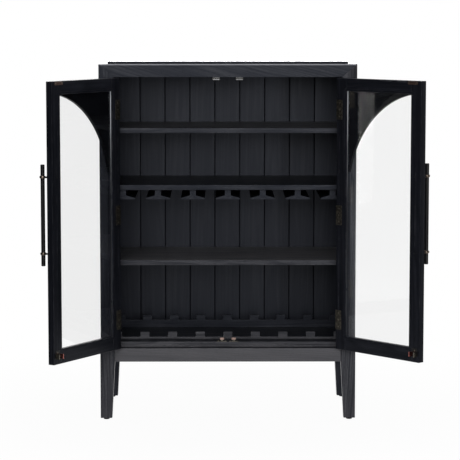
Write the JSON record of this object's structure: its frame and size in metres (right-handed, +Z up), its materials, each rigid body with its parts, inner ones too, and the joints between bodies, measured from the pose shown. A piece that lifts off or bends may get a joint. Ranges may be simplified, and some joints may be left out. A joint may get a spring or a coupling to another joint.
{
  "type": "wine cabinet",
  "caption": "Black wood wine cabinet on tapered legs with two glazed doors under one arch, shelves, hanging rails for stemware and a notched bottle rack.",
  "frame": {"origin": "on the ground under the middle of the case's footprint", "axes": "+X to the right seen from the front, +Y to the back of the case, +Z up"},
  "size_m": [1.3322, 0.8197, 1.283],
  "materials": {
    "black_oak": "satin black stain over open grain",
    "clear_glass": "clear float glass",
    "hinge_brass": "antique brass",
    "screw_brass": "antique brass",
    "copper_plate": "copper plated spring steel",
    "handle_black": "satin black",
    "handle_brass": "brushed brass",
    "strike_bronze": "bronzed steel",
    "magnet_grey": "light grey plastic",
    "glide_black": "black plastic",
    "pin_steel": "zinc plated"
  },
  "bodies": {
    "case": {"right_front_post": "black_oak", "left_front_post": "black_oak", "right_back_post": "black_oak", "left_back_post": "black_oak", "front_top_rail": "black_oak", "back_top_rail": "black_oak", "side_top_rails": "black_oak", "front_apron": "black_oak", "back_apron": "black_oak", "side_aprons": "black_oak", "side_panels": "black_oak", "back_panel": "black_oak", "floor_panel": "black_oak", "ceiling_panel": "black_oak", "top_board": "black_oak", "lower_shelf": "black_oak", "middle_shelf": "black_oak", "upper_shelf": "black_oak", "shelf_pins": "pin_steel", "foot_glides": "glide_black", "stemware_rail_1": "black_oak", "stemware_rail_2": "black_oak", "stemware_rail_3": "black_oak", "stemware_rail_4": "black_oak", "stemware_rail_5": "black_oak", "stemware_rail_6": "black_oak", "stemware_rail_7": "black_oak", "front_bottle_rail": "black_oak", "back_bottle_rail": "black_oak", "hinge_frame_leaves": "hinge_brass", "hinge_pins": "hinge_brass", "magnetic_catches": "magnet_grey", "catch_prongs": "copper_plate", "case_screws": "screw_brass"},
    "left_door": {"left_door_hinge_stile": "black_oak", "left_door_meeting_stile": "black_oak", "left_door_top_rail": "black_oak", "left_door_bottom_rail": "black_oak", "left_door_arch_panel": "black_oak", "left_door_glass": "clear_glass", "left_door_glazing_beads": "black_oak", "left_door_handle_bar": "handle_black", "left_door_handle_posts": "handle_brass", "left_door_strike_plate": "strike_bronze", "left_door_spring_grip": "copper_plate", "left_door_hinge_leaves": "hinge_brass", "left_door_screws": "screw_brass"},
    "right_door": {"right_door_hinge_stile": "black_oak", "right_door_meeting_stile": "black_oak", "right_door_top_rail": "black_oak", "right_door_bottom_rail": "black_oak", "right_door_arch_panel": "black_oak", "right_door_glass": "clear_glass", "right_door_glazing_beads": "black_oak", "right_door_handle_bar": "handle_black", "right_door_handle_posts": "handle_brass", "right_door_strike_plate": "strike_bronze", "right_door_spring_grip": "copper_plate", "right_door_hinge_leaves": "hinge_brass", "right_door_screws": "screw_brass"}
  },
  "joints": [
    {"name": "left_door_swing", "type": "hinge", "parent": "case", "child": "left_door", "pos_m": [-0.40375, -0.2319, 0.744], "axis": [0, 0, -1], "range_deg": [-122, 50]},
    {"name": "right_door_swing", "type": "hinge", "parent": "case", "child": "right_door", "pos_m": [0.40375, -0.2319, 0.744], "axis": [0, 0, 1], "range_deg": [-132, 40]}
  ]
}
